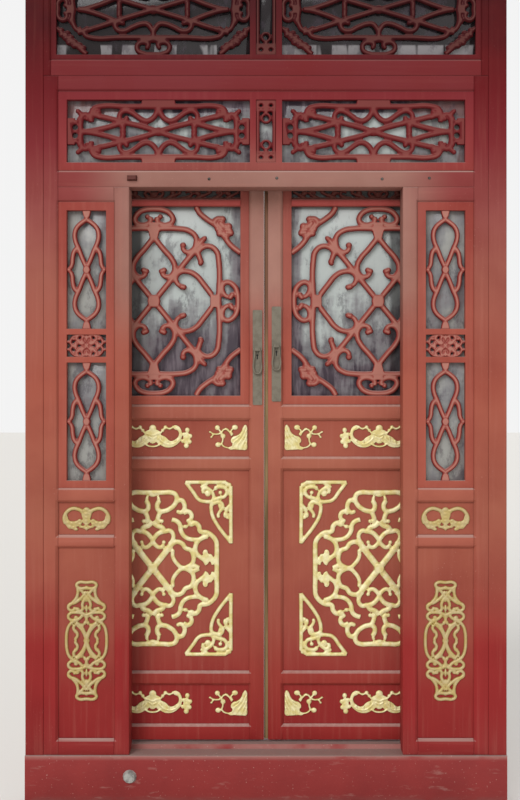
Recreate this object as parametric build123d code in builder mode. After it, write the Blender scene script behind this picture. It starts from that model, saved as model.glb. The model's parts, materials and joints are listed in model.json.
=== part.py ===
from build123d import *
import os

os.makedirs("parts", exist_ok=True)

# A carved screen door. X runs to the right, Y from the front face into the building, Z up.
# The origin is on the sill's underside, midway between the posts, below the plane of the front face.

# Widths of the screen frame, from the middle outwards
doorway_width = 986
jamb_width = 54
side_light_width = 202
outer_stile_width = 52
post_width = 66
top_stile_width = 26

# Heights, from the ground up
sill_height = 223
sill_step = 17
doorway_height = 2045
lintel_height = 60
transom_height = 286
upper_rail_height = 55
top_rail_height = 60
top_transom_height = 367
head_height = 59

# Depths and the shapes along the edges
frame_depth = 90
sill_nose = 8
sill_depth = 140
step_depth = 70
sill_rounding = 5
post_rounding = 4
frame_bevel = 7
tenon_length = 34
top_tenon_length = 16
tenon_shoulder = 8

# Panels in grooves, in the screen and in the leaves
panel_recess = 14
panel_thickness = 12
panel_bevel = 10
groove_depth = 8

# Sashes with glass behind a lattice
sash_width = 30
top_sash_width = 18
sash_recess = 6
sash_depth = 38
mullion_width = 22
centre_panel_width = 72
lattice_setback = 3
lattice_thickness = 20
glass_thickness = 4
glass_rebate = 8

# Side lights: heights of their rails and openings, from the bottom
side_bottom_rail = 58
side_panel_height = 686
side_low_rail = 48
plaque_panel_height = 115
side_middle_rail = 54
side_top_rail = 53
side_sash_foot = 26
side_bar_height = 21
rosette_height = 80
side_low_light = 426

# Leaves, hung behind the screen
leaf_width = 815
leaf_thickness = 45
leaf_setback = 10
leaf_lift = 7
meeting_gap = 15
leaf_stile_width = 55
leaf_bottom_rail = 56
foot_panel_height = 144
leaf_foot_rail = 52
main_panel_height = 740
leaf_waist_rail = 51
waist_panel_height = 134
leaf_lock_rail = 59
leaf_top_rail = 32
leaf_overlap = 49
leaf_sash_width = 32
leaf_top_bar = 26
leaf_top_strip = 10
leaf_sash_depth = 32
top_carving_height = 44
leaf_bevel = 9
meeting_strip_width = 11
meeting_strip_depth = 24
meeting_strip_recess = 12

# Pivots of the leaves: a post on the back of each, its pins in a board above and in blocks below
pivot_inset = 25
pivot_post_width = 45
pin_radius = 15
pin_clearance = 0.05
pin_engagement = 25
pin_seat_gap = 0.3
pivot_board_height = 45
pivot_board_depth = 125
pivot_board_overhang = 40
pivot_board_gap = 6
block_width = 84
block_depth = 80

# Lock plates and their drop pulls: place of each plate, and heights on it from its middle
plate_places = {"left": (-31.5, 1656), "right": (38.5, 1669)}
plate_width = 35
plate_height = 350
plate_thickness = 3
plate_chamfer = 3
pull_pivot_rise = 30
pull_width = 34
pull_drop = 92
pull_arm = 6
pull_thickness = 5
pull_eye_radius = 5.5
pull_pin_radius = 2.5
pull_pin_clearance = 0.06
pull_side_gap = 0.4
pull_boss_height = 12
pull_standoff = 9
keyhole_rise = 8
keyhole_radius = 4
keyhole_slot_width = 4
keyhole_slot_length = 15

# The mortise lock: its case in the right leaf, its sliding bolt, and the keep in the left leaf
lock_case_depth = 38
lock_case_height = 110
lock_case_thickness = 15
lock_level = 1665
bolt_thickness = 8
bolt_height = 26
bolt_length = 34
bolt_travel = 14
bolt_clearance = 0.3
bolt_back_gap = 1

# Carving
leaf_stroke = 20
transom_stroke = 15
side_stroke = 14
gilding_thickness = 7
medallion_stroke = 13
bracket_stroke = 10
small_stroke = 11
sprig_stroke = 6

medallion_rise = 7
side_medallion_rise = 8
bracket_margins = (64, 54)

# Small ironwork on the screen
stud_radius = 25
stud_height = 12
stud_place = (-490, 148)
hook_place = (-482, 2300)
hook_size = (36, 20)
hook_reach = 14

# Places that follow from the sizes above
doorway_half = doorway_width / 2
light_inner = doorway_half + jamb_width
light_outer = light_inner + side_light_width
stile_outer = light_outer + outer_stile_width
post_outer = stile_outer + post_width
top_stile_inner = stile_outer - top_stile_width

sill_top = sill_height + sill_step
lintel_bottom = sill_height + doorway_height
lintel_top = lintel_bottom + lintel_height
transom_top = lintel_top + transom_height
seam_height = transom_top + upper_rail_height
top_transom_bottom = seam_height + top_rail_height
top_transom_top = top_transom_bottom + top_transom_height
overall_height = top_transom_top + head_height

side_panel_bottom = sill_height + side_bottom_rail
side_panel_top = side_panel_bottom + side_panel_height
plaque_bottom = side_panel_top + side_low_rail
plaque_top = plaque_bottom + plaque_panel_height
side_window_bottom = plaque_top + side_middle_rail
side_window_top = lintel_bottom - side_top_rail

leaf_front = frame_depth + leaf_setback
leaf_back = leaf_front + leaf_thickness
leaf_inner = -meeting_gap / 2
leaf_outer = leaf_inner - leaf_width
leaf_centre = (leaf_inner + leaf_outer) / 2
leaf_left = leaf_outer + leaf_stile_width
leaf_right = leaf_inner - leaf_stile_width
leaf_bottom = sill_top + leaf_lift
foot_bottom = leaf_bottom + leaf_bottom_rail
foot_top = foot_bottom + foot_panel_height
main_bottom = foot_top + leaf_foot_rail
main_top = main_bottom + main_panel_height
waist_bottom = main_top + leaf_waist_rail
waist_top = waist_bottom + waist_panel_height
leaf_window_bottom = waist_top + leaf_lock_rail
leaf_top = lintel_bottom + leaf_overlap
leaf_window_top = leaf_top - leaf_top_rail
leaf_sash_top = leaf_window_top - top_carving_height

pivot_x = leaf_outer + pivot_inset
pivot_y = leaf_back + pivot_post_width / 2
pivot_board_bottom = leaf_top + pivot_board_gap
pivot_board_half = stile_outer + pivot_board_overhang
plate_front = leaf_front - plate_thickness
pull_axis_y = plate_front - pull_standoff


# Lights: each is the width range and the height range of one opening in a sash
side_light_range = (-light_outer + sash_width, -light_inner - sash_width)
low_light_bottom = side_window_bottom + side_sash_foot
low_light_levels = (low_light_bottom, low_light_bottom + side_low_light)
rosette_levels = (low_light_levels[1] + side_bar_height, low_light_levels[1] + side_bar_height + rosette_height)
high_light_levels = (rosette_levels[1] + side_bar_height, side_window_top - sash_width)
side_lights = [(side_light_range, levels) for levels in (low_light_levels, rosette_levels, high_light_levels)]

centre_light_range = (-centre_panel_width / 2, centre_panel_width / 2)
wide_light_inner = centre_light_range[1] + mullion_width
transom_levels = (lintel_top + sash_width, transom_top - sash_width)
transom_lights = [
    ((-light_outer + sash_width, -wide_light_inner), transom_levels),
    (centre_light_range, transom_levels),
    ((wide_light_inner, light_outer - sash_width), transom_levels),
]
top_levels = (top_transom_bottom + top_sash_width, top_transom_top - top_sash_width)
top_lights = [
    ((-top_stile_inner + top_sash_width, -wide_light_inner), top_levels),
    (centre_light_range, top_levels),
    ((wide_light_inner, top_stile_inner - top_sash_width), top_levels),
]

leaf_light_range = (leaf_left + leaf_sash_width, leaf_right - leaf_sash_width)
leaf_light = (leaf_light_range, (leaf_window_bottom + leaf_sash_width, leaf_sash_top - leaf_top_bar))
carving_light = (leaf_light_range, (leaf_sash_top, leaf_window_top - leaf_top_strip))


def keep(shape, name):
    """Labels a finished piece and writes its STEP file."""
    shape.label = name
    export_step(shape, f"parts/{name}.step")


def mirrored(shape):
    """The piece of the right half that mirrors one of the left half."""
    with BuildPart() as twin:
        mirror(shape, about=Plane.YZ)
    return twin.part


def keep_pair(shape, name):
    keep(shape, f"left_{name}")
    keep(mirrored(shape), f"right_{name}")


def span(limits):
    return limits[1] - limits[0]


def middle(limits):
    return (limits[0] + limits[1]) / 2


def grown(limits, margin):
    return (limits[0] - margin, limits[1] + margin)


def front_plane(x, y, z):
    """A plane that faces the front, so that an extrusion from it grows towards the viewer."""
    return Plane(origin=(x, y, z), x_dir=(1, 0, 0), z_dir=(0, -1, 0))


def board(x_range, z_range, y_range, mode=Mode.ADD):
    """A board between its left and right edges, its bottom and top, and its front and back."""
    with BuildSketch(front_plane(middle(x_range), y_range[1], middle(z_range))) as outline:
        Rectangle(span(x_range), span(z_range))
    extrude(outline.sketch, amount=span(y_range), mode=mode)


def cut_openings(openings, face):
    """Cuts the mitred bevel round each opening off the member under work, and the grooves for panels."""
    for x_range, z_range, bevel, panelled in openings:
        corner = (middle(x_range), face, middle(z_range))
        with BuildSketch(Plane(origin=corner, x_dir=(1, 0, 0), z_dir=(0, 1, 0))) as mouth:
            Rectangle(span(x_range) + 2 * bevel, span(z_range) + 2 * bevel)
        extrude(mouth.sketch, amount=bevel, taper=45, mode=Mode.SUBTRACT)
        if panelled:
            panel(x_range, z_range, face, mode=Mode.SUBTRACT)


def panel(x_range, z_range, face, mode=Mode.ADD):
    """A thin panel that reaches into the grooves round its opening."""
    depths = (face + panel_recess, face + panel_recess + panel_thickness)
    board(grown(x_range, groove_depth), grown(z_range, groove_depth), depths, mode=mode)


def tenon(x_range, z_range, face, thickness, mode=Mode.ADD):
    """A tenon in the middle third of a member's thickness, or the mortise for it."""
    depths = (face + thickness / 3, face + thickness * 2 / 3)
    board(x_range, grown(z_range, -tenon_shoulder), depths, mode=mode)


def rail(x_range, z_range, face, thickness, openings, reach=tenon_length):
    """A rail between two uprights, with a tenon at each end and the bevels of the openings it borders."""
    with BuildPart() as piece:
        board(x_range, z_range, (face, face + thickness))
        cut_openings(openings, face)
        left, right = x_range
        tenon((left - reach, left), z_range, face, thickness)
        tenon((right, right + reach), z_range, face, thickness)
    return piece.part


def upright(x_range, z_range, face, thickness, openings, joints, reach=tenon_length):
    """A post or stile, with a mortise for each rail: joints give the side and the rail's height range."""
    with BuildPart() as piece:
        board(x_range, z_range, (face, face + thickness))
        cut_openings(openings, face)
        for side, levels in joints:
            left = side if side == x_range[0] else side - reach
            tenon((left, left + reach), levels, face, thickness, mode=Mode.SUBTRACT)
    return piece.part


def glass_depths(face):
    front = face + lattice_setback + lattice_thickness + lattice_setback
    return (front, front + glass_thickness)


def sash(outline, lights, face, depth):
    """A fixed sash with its lights, each rebated for glass at the back."""
    rebate = (glass_depths(face)[0], face + depth)
    with BuildPart() as piece:
        board(*outline, (face, face + depth))
        for x_range, z_range in lights:
            board(x_range, z_range, (face, face + depth), mode=Mode.SUBTRACT)
            board(grown(x_range, glass_rebate), grown(z_range, glass_rebate), rebate, mode=Mode.SUBTRACT)
    return piece.part


def panes(lights, face):
    """The panes of a sash, each bedded in its rebate."""
    with BuildPart() as piece:
        for x_range, z_range in lights:
            board(grown(x_range, glass_rebate), grown(z_range, glass_rebate), glass_depths(face))
    return piece.part


def carvings(places, back, thickness):
    """Raises each pattern from the plane at its back, cut to the light that it fills."""
    with BuildPart() as piece:
        for draw, (x_range, z_range) in places:
            with BuildSketch(front_plane(middle(x_range), back, middle(z_range))):
                draw()
                Rectangle(span(x_range), span(z_range), mode=Mode.INTERSECT)
            extrude(amount=thickness)
    return piece.part


def lattice(places, face):
    back = face + lattice_setback + lattice_thickness
    return carvings(places, back, lattice_thickness)


def stroke(points, width):
    """One carved stroke in the sketch under work, with mitred bends."""
    with BuildLine() as route:
        Polyline(*points)
    trace(route.line, line_width=width)


def boss(radius, place=(0, 0), sides=4):
    with Locations(place):
        RegularPolygon(radius, sides)


def mirror_quarter():
    """Completes a pattern that was drawn in its upper right quarter."""
    mirror(about=Plane.YZ)
    mirror(about=Plane.XZ)


def leaf_pattern():
    """Ogee hearts round a diagonal cross, with rings and sprigs that reach the sash."""
    width = leaf_stroke
    boss(28)
    stroke([(0, 0), (158, 190)], width)
    stroke([(0, 269), (120, 269), (164, 222), (158, 190), (240, 172), (240, 0)], width)
    stroke([(0, 256), (82, 124), (34, 86)], width)
    stroke([(232, 0), (122, 106), (92, 54)], width)
    stroke([(258, 0), (264, 60), (300, 60), (313, 0)], width)
    stroke([(0, 288), (62, 314), (0, 342)], width)
    stroke([(164, 354), (238, 268), (324, 184)], width)
    mirror_quarter()


def transom_pattern(light, sprigs):
    """Two long bars with curled ends over a flat cross, tied to the sash by blocks and end rings."""
    width = transom_stroke
    half_width, half_height = span(light[0]) / 2, span(light[1]) / 2
    bar = half_height - 22
    end = half_width - 42
    knee = 0.43 * end
    boss(20)
    with Locations((0, half_height - 10)):
        Rectangle(122, 22)
    stroke([(0, bar), (end - 44, bar), (end, bar - 34), (end, 0), (knee, 0.4 * bar), (knee, 0)], width)
    stroke([(0, 0), (end - 22, bar - 16)], width)
    stroke([(0, bar), (36, 0.44 * bar), (knee, 0.8 * bar), (knee, 0.4 * bar)], width)
    with Locations((half_width - 22, 0)):
        Rectangle(44, 86)
    with Locations((half_width - 20, 19)):
        RegularPolygon(11, 4, mode=Mode.SUBTRACT)
    if sprigs:
        stroke([(end - 66, half_height), (half_width, bar - 66)], width)
        stroke([(knee, bar), (knee, half_height)], width)
    mirror_quarter()


def low_transom_pattern():
    transom_pattern(transom_lights[0], False)


def top_transom_pattern():
    transom_pattern(top_lights[0], True)


def side_pattern():
    """Two drop-shaped loops that cross at a boss, with side curves that touch the sash."""
    stroke([(0, 184), (40, 152), (42, 96), (0, 0)], side_stroke)
    stroke([(34, 80), (58, 0)], side_stroke)
    with Locations((span(side_light_range) / 2 - 6, 0)):
        Rectangle(18, 30)
    with Locations((0, side_low_light / 2 - 12)):
        Rectangle(26, 30)
    mirror_quarter()


def rosette_pattern():
    """A pierced ground that fills its light, with an eye in each corner and beside the middle."""
    width, height = span(side_light_range), rosette_height
    Rectangle(width, height)
    with GridLocations(width - 40, height - 28, 2, 2):
        RegularPolygon(9, 4, mode=Mode.SUBTRACT)
    with GridLocations(56, 0, 2, 1):
        RegularPolygon(8, 4, mode=Mode.SUBTRACT)


def centre_pattern(levels):
    """A narrow pierced panel: an eye in each corner, long side slots, and two drop rings."""
    width, height = centre_panel_width, span(levels)
    Rectangle(width, height)
    with GridLocations(width - 32, height - 36, 2, 2):
        RegularPolygon(8, 4, mode=Mode.SUBTRACT)
    with GridLocations(width - 26, 0, 2, 1):
        Rectangle(11, height - 96, mode=Mode.SUBTRACT)
    with GridLocations(0, height - 76, 1, 2):
        RegularPolygon(9, 4, mode=Mode.SUBTRACT)


def low_centre_pattern():
    centre_pattern(transom_levels)


def top_centre_pattern():
    centre_pattern(top_levels)


def strip_pattern():
    """The pierced strip over the lattice of a leaf: a row of lozenges between cross strokes."""
    Rectangle(*(span(limits) for limits in carving_light))
    with GridLocations(120, 0, 5, 1):
        RegularPolygon(14, 4, mode=Mode.SUBTRACT)


def medallion_pattern():
    """The gilded medallion: a diagonal cross in trefoil loops, inside a stepped scroll outline."""
    width = medallion_stroke
    stroke([(0, 281), (82, 281), (100, 232), (138, 206), (174, 136), (226, 120), (237, 0)], width)
    stroke([(0, 0), (70, 86)], width + 6)
    stroke([(0, 170), (78, 132), (66, 82), (148, 74), (104, 0)], width)
    stroke([(84, 190), (160, 100), (226, 120)], width)
    mirror_quarter()


def bracket_pattern():
    """The gilded brackets in the corners of the main panel."""
    width = bracket_stroke
    side = span(leaf_range) / 2 - bracket_margins[0]
    top = main_panel_height / 2 - bracket_margins[1]
    stroke([(side - 166, top), (side, top), (side, top - 220)], width)
    stroke([(side - 162, top), (side - 92, top - 76), (side, top - 214)], width)
    mirror_quarter()


def waist_pattern():
    """A bat with outspread wings between flowers, and a rock with a plum branch at each end."""
    stroke([(8, 0), (58, -30), (102, -10), (84, 34), (8, 18)], small_stroke)
    boss(30, (126, 2))
    with BuildLine() as rock:
        Polyline((346, -46), (346, 46), (312, 4), (280, -46), close=True)
    make_face(rock.edges())
    stroke([(312, 0), (266, 30), (206, 20)], sprig_stroke)
    boss(16, (252, -18))
    mirror(about=Plane.YZ)
    boss(24, (0, 16))


def plaque_pattern():
    """The gilded plaque: two wings curled round to a ring on either side of a body."""
    stroke([(0, 26), (58, 34), (78, 0), (58, -34), (0, -26)], small_stroke)
    mirror(about=Plane.YZ)
    boss(30)


def side_medallion_pattern():
    """The long gilded medallion of the lower side panel."""
    width = bracket_stroke
    boss(14)
    stroke([(0, 212), (36, 212), (34, 178), (58, 140), (34, 100), (68, 60), (68, 0)], width)
    stroke([(0, 0), (36, 98)], width)
    stroke([(34, 178), (0, 134)], width)
    mirror_quarter()


# Sill: the worn front ledge, with a step up between the jambs and behind the screen
with BuildPart() as sill:
    board((-post_outer, post_outer), (0, sill_height), (-sill_nose, sill_depth))
    fillet(sill.edges().filter_by(Axis.X).group_by(Axis.Z)[-1].sort_by(Axis.Y)[0], sill_rounding)
    board((-doorway_half, doorway_half), (sill_height, sill_top), (step_depth, frame_depth))
    board((-post_outer, post_outer), (sill_height, sill_top), (frame_depth, sill_depth))
keep(sill.part, "sill")

# Posts at the sides of the whole screen
with BuildPart() as left_post:
    board((-post_outer, -stile_outer), (sill_height, overall_height), (0, frame_depth))
    fillet(left_post.edges().filter_by(Axis.Z).sort_by(Axis.Y)[:2], post_rounding)
keep_pair(left_post.part, "post")

# Openings of the screen: width range, height range, bevel, and whether a panel fills them
side_range = (-light_outer, -light_inner)
side_levels = {
    "bottom": (sill_height, side_panel_bottom),
    "low": (side_panel_top, plaque_bottom),
    "middle": (plaque_top, side_window_bottom),
    "top": (side_window_top, lintel_bottom),
}
panel_opening = (side_range, (side_panel_bottom, side_panel_top), panel_bevel, True)
plaque_opening = (side_range, (plaque_bottom, plaque_top), panel_bevel, True)
window_opening = (side_range, (side_window_bottom, side_window_top), frame_bevel, False)
side_openings = [panel_opening, plaque_opening, window_opening]
doorway_levels = {"lintel": (lintel_bottom, lintel_top), "upper": (transom_top, seam_height)}
transom_outline = ((-light_outer, light_outer), (lintel_top, transom_top))
top_outline = ((-top_stile_inner, top_stile_inner), (top_transom_bottom, top_transom_top))
transom_opening = (*transom_outline, frame_bevel, False)
top_opening = (*top_outline, frame_bevel, False)
top_rails = {"top": (seam_height, top_transom_bottom), "head": (top_transom_top, overall_height)}

# Rails that run from side to side
keep(rail(transom_outline[0], doorway_levels["lintel"], 0, frame_depth, [transom_opening]), "lintel")
keep(rail(transom_outline[0], doorway_levels["upper"], 0, frame_depth, [transom_opening]), "upper_rail")
for name, levels in top_rails.items():
    keep(rail(top_outline[0], levels, 0, frame_depth, [top_opening], top_tenon_length), f"{name}_rail")

# Outer stiles of the lower screen, and the narrow ones of the top frame over them
joints = [(-light_outer, levels) for levels in (*side_levels.values(), *doorway_levels.values())]
outer_stile = upright((-stile_outer, -light_outer), (sill_height, seam_height), 0, frame_depth,
                      [*side_openings, transom_opening], joints)
keep_pair(outer_stile, "outer_stile")

joints = [(-top_stile_inner, levels) for levels in top_rails.values()]
top_stile = upright((-stile_outer, -top_stile_inner), (seam_height, overall_height), 0, frame_depth,
                    [top_opening], joints, top_tenon_length)
with BuildPart() as top_stiles:
    add(top_stile)
    mirror(top_stile, about=Plane.YZ)
keep(top_stiles.part, "top_stiles")

# Jambs between the doorway and the side lights
joints = [(-light_inner, levels) for levels in side_levels.values()]
jamb = upright((-light_inner, -doorway_half), (sill_height, lintel_bottom), 0, frame_depth,
               side_openings, joints)
keep_pair(jamb, "jamb")

# Top transom and the transom over the doorway
for name, outline, lights, wide, narrow in (
    ("top_transom", top_outline, top_lights, top_transom_pattern, top_centre_pattern),
    ("transom", transom_outline, transom_lights, low_transom_pattern, low_centre_pattern),
):
    keep(sash(outline, lights, sash_recess, sash_depth), f"{name}_sash")
    keep(lattice(zip((wide, narrow, wide), lights), sash_recess), f"{name}_lattice")
    keep(panes(lights, sash_recess), f"{name}_glass")

# Side lights, their panels and gilding
with BuildPart() as side_rails:
    add(rail(side_range, side_levels["bottom"], 0, frame_depth, [panel_opening]))
    add(rail(side_range, side_levels["low"], 0, frame_depth, [panel_opening, plaque_opening]))
    add(rail(side_range, side_levels["middle"], 0, frame_depth, [plaque_opening, window_opening]))
    add(rail(side_range, side_levels["top"], 0, frame_depth, [window_opening]))
keep_pair(side_rails.part, "side_rails")

keep_pair(sash(window_opening[:2], side_lights, sash_recess, sash_depth), "side_sash")
side_patterns = (side_pattern, rosette_pattern, side_pattern)
keep_pair(lattice(zip(side_patterns, side_lights), sash_recess), "side_lattice")
keep_pair(panes(side_lights, sash_recess), "side_glass")

with BuildPart() as side_panels:
    for opening in (panel_opening, plaque_opening):
        panel(*opening[:2], 0)
keep_pair(side_panels.part, "side_panels")

plaque_place = (side_range, (plaque_bottom, plaque_top))
side_medallion_place = (side_range, [level + side_medallion_rise for level in panel_opening[1]])
side_gilding = carvings(
    [(plaque_pattern, plaque_place), (side_medallion_pattern, side_medallion_place)],
    panel_recess, gilding_thickness)
keep_pair(side_gilding, "side_gilding")

# Leaves: each a frame of stiles and rails round a glazed lattice and three panels
leaf_range = (leaf_left, leaf_right)
leaf_rail_levels = [
    (leaf_bottom, foot_bottom), (foot_top, main_bottom), (main_top, waist_bottom),
    (waist_top, leaf_window_bottom), (leaf_window_top, leaf_top),
]
foot_opening = (leaf_range, (foot_bottom, foot_top), leaf_bevel, True)
main_opening = (leaf_range, (main_bottom, main_top), leaf_bevel, True)
waist_opening = (leaf_range, (waist_bottom, waist_top), leaf_bevel, True)
leaf_window = (leaf_range, (leaf_window_bottom, leaf_window_top), leaf_bevel, False)
leaf_openings = [foot_opening, main_opening, waist_opening, leaf_window]
leaf_sizes = (leaf_front, leaf_thickness)

with BuildPart() as leaf_rails:
    for i, levels in enumerate(leaf_rail_levels):
        bordered = leaf_openings[max(i - 1, 0):i + 1]
        add(rail(leaf_range, levels, *leaf_sizes, bordered))
keep_pair(leaf_rails.part, "leaf_rails")

joints = [(leaf_left, levels) for levels in leaf_rail_levels]
hinge_stile = upright((leaf_outer, leaf_left), (leaf_bottom, leaf_top), *leaf_sizes, leaf_openings, joints)
keep_pair(hinge_stile, "hinge_stile")

joints = [(leaf_right, levels) for levels in leaf_rail_levels]
meeting_stile = upright((leaf_right, leaf_inner), (leaf_bottom, leaf_top), *leaf_sizes,
                        leaf_openings, joints)

# The lock: the case lets the bolt slide out of the right leaf, and a mortise in the left leaf takes it
lock_y = leaf_front + leaf_thickness / 2
case_depths = grown((lock_y, lock_y), lock_case_thickness / 2)
case_levels = grown((lock_level, lock_level), lock_case_height / 2)
bolt_depths = grown((lock_y, lock_y), bolt_thickness / 2)
bolt_levels = grown((lock_level, lock_level), bolt_height / 2)
bolt_front = -leaf_inner - meeting_strip_width
bolt_range = (bolt_front, bolt_front + bolt_length)
case_range = (-leaf_inner, -leaf_inner + lock_case_depth)
slot_levels, slot_depths = grown(bolt_levels, bolt_clearance), grown(bolt_depths, bolt_clearance)
slot_range = (bolt_front, bolt_range[1] + bolt_back_gap)
keep_range = (bolt_front - bolt_travel - bolt_back_gap, leaf_inner)

with BuildPart() as left_meeting_stile:
    add(meeting_stile)
    board(keep_range, slot_levels, slot_depths, mode=Mode.SUBTRACT)
keep(left_meeting_stile.part, "left_meeting_stile")

with BuildPart() as right_meeting_stile:
    mirror(meeting_stile, about=Plane.YZ)
    board(case_range, case_levels, case_depths, mode=Mode.SUBTRACT)
keep(right_meeting_stile.part, "right_meeting_stile")

with BuildPart() as lock_case:
    board(case_range, case_levels, case_depths)
    board(slot_range, slot_levels, slot_depths, mode=Mode.SUBTRACT)
keep(lock_case.part, "lock_case")

with BuildPart() as lock_bolt:
    board(bolt_range, bolt_levels, bolt_depths)
    nose = lock_bolt.edges().filter_by(Axis.Z).sort_by(Axis.X)[:2]
    fillet(nose, bolt_thickness / 4)
keep(lock_bolt.part, "lock_bolt")

strip_depths = (leaf_front + meeting_strip_recess, leaf_front + meeting_strip_recess + meeting_strip_depth)
with BuildPart() as meeting_strip:
    board((bolt_front, -leaf_inner), (leaf_bottom, leaf_top), strip_depths)
    board(slot_range, slot_levels, slot_depths, mode=Mode.SUBTRACT)
keep(meeting_strip.part, "meeting_strip")

# What fills the leaves
leaf_face = leaf_front + sash_recess
leaf_sash = sash(leaf_window[:2], [leaf_light, carving_light], leaf_face, leaf_sash_depth)
keep_pair(leaf_sash, "leaf_sash")
keep_pair(lattice([(leaf_pattern, leaf_light), (strip_pattern, carving_light)], leaf_face), "leaf_lattice")
keep_pair(panes([leaf_light, carving_light], leaf_face), "leaf_glass")

with BuildPart() as leaf_panels:
    for opening in (foot_opening, main_opening, waist_opening):
        panel(*opening[:2], leaf_front)
keep_pair(leaf_panels.part, "leaf_panels")

medallion_place = (leaf_range, [level + medallion_rise for level in main_opening[1]])
gilding_back = leaf_front + panel_recess
with BuildPart() as leaf_gilding:
    add(carvings([(medallion_pattern, medallion_place), (waist_pattern, waist_opening[:2])],
                 gilding_back, gilding_thickness))
    add(carvings([(bracket_pattern, medallion_place)], gilding_back, gilding_thickness))
    foot_centre = (leaf_centre, gilding_back, middle(foot_opening[1]))
    with BuildSketch(Plane(origin=foot_centre, x_dir=(-1, 0, 0), z_dir=(0, -1, 0))):
        waist_pattern()
    extrude(amount=gilding_thickness)
keep_pair(leaf_gilding.part, "leaf_gilding")

# Pivots: the post on the back of a leaf, with a pin at each end
pin_bottom = sill_top - pin_engagement
pin_top = pivot_board_bottom + pin_engagement
with BuildPart() as pivot_post:
    board(grown((pivot_x, pivot_x), pivot_post_width / 2), (leaf_bottom, leaf_top),
          (leaf_back, leaf_back + pivot_post_width))
    with BuildSketch(Plane.XY.offset(pin_bottom)):
        with Locations((pivot_x, pivot_y)):
            Circle(pin_radius)
    extrude(amount=leaf_bottom - pin_bottom)
    with BuildSketch(Plane.XY.offset(leaf_top)):
        with Locations((pivot_x, pivot_y)):
            Circle(pin_radius)
    extrude(amount=pin_top - leaf_top)
keep_pair(pivot_post.part, "pivot_post")

with BuildPart() as pivot_board:
    board((-pivot_board_half, pivot_board_half),
          (pivot_board_bottom, pivot_board_bottom + pivot_board_height),
          (frame_depth, frame_depth + pivot_board_depth))
    with Locations((pivot_x, pivot_y, pivot_board_bottom), (-pivot_x, pivot_y, pivot_board_bottom)):
        Cylinder(pin_radius + pin_clearance, 2 * pivot_board_height, mode=Mode.SUBTRACT)
keep(pivot_board.part, "pivot_board")

with BuildPart() as pivot_blocks:
    for x in (pivot_x, -pivot_x):
        board(grown((x, x), block_width / 2), (0, sill_top), (sill_depth, sill_depth + block_depth))
        with Locations((x, pivot_y, sill_top)):
            Hole(pin_radius + pin_clearance, depth=pin_engagement + pin_seat_gap)
keep(pivot_blocks.part, "pivot_blocks")

# Lock plates with the boss and pin of the pull, and the drop pulls
for side, (plate_x, plate_z) in plate_places.items():
    pivot_z = plate_z + pull_pivot_rise
    pull_axis = Plane(origin=(plate_x, pull_axis_y, pivot_z), z_dir=(1, 0, 0))
    arm_x = pull_width / 2 - pull_arm / 2
    with BuildPart() as lock_plate:
        with BuildSketch(front_plane(plate_x, leaf_front, plate_z)):
            Rectangle(plate_width, plate_height)
            chamfer(vertices(), plate_chamfer)
            with Locations((0, keyhole_rise)):
                RegularPolygon(keyhole_radius, 8, mode=Mode.SUBTRACT)
            with Locations((0, keyhole_rise - keyhole_slot_length / 2)):
                Rectangle(keyhole_slot_width, keyhole_slot_length, mode=Mode.SUBTRACT)
        extrude(amount=plate_thickness)
        board(grown((plate_x, plate_x), arm_x - pull_arm / 2 - pull_side_gap),
              grown((pivot_z, pivot_z), pull_boss_height / 2),
              (pull_axis_y - pull_boss_height / 2, plate_front))
        with Locations(pull_axis):
            Cylinder(pull_pin_radius, pull_width)
    keep(lock_plate.part, f"{side}_lock_plate")

    with BuildPart() as pull:
        with BuildSketch(pull_axis.offset(-pull_width / 2)):
            RegularPolygon(pull_eye_radius, 6)
        extrude(amount=pull_arm)
        with BuildSketch(pull_axis.offset(arm_x - pull_arm / 2)):
            RegularPolygon(pull_eye_radius, 6)
        extrude(amount=pull_arm)
        with BuildSketch(front_plane(plate_x, pull_axis_y + pull_thickness / 2, pivot_z)):
            top, corner = -pull_eye_radius / 2, pull_width / 4
            stroke([(-arm_x, top), (-arm_x, corner - pull_drop), (-arm_x + corner, -pull_drop),
                    (arm_x - corner, -pull_drop), (arm_x, corner - pull_drop), (arm_x, top)], pull_arm)
        extrude(amount=pull_thickness)
        with Locations(pull_axis):
            Cylinder(pull_pin_radius + pull_pin_clearance, 2 * pull_width, mode=Mode.SUBTRACT)
    keep(pull.part, f"{side}_pull")

# Small ironwork: a stud on the face of the sill, and a hook on the lintel
with BuildPart() as ironwork:
    stud_x, stud_z = stud_place
    with BuildSketch(front_plane(stud_x, -sill_nose, stud_z)):
        RegularPolygon(stud_radius, 12)
    extrude(amount=stud_height, taper=25)
    hook_x, hook_z = hook_place
    with BuildSketch(front_plane(hook_x, 0, hook_z)):
        Rectangle(*hook_size)
    extrude(amount=hook_reach, taper=15)
keep(ironwork.part, "ironwork")
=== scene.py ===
import json
import math

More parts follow.
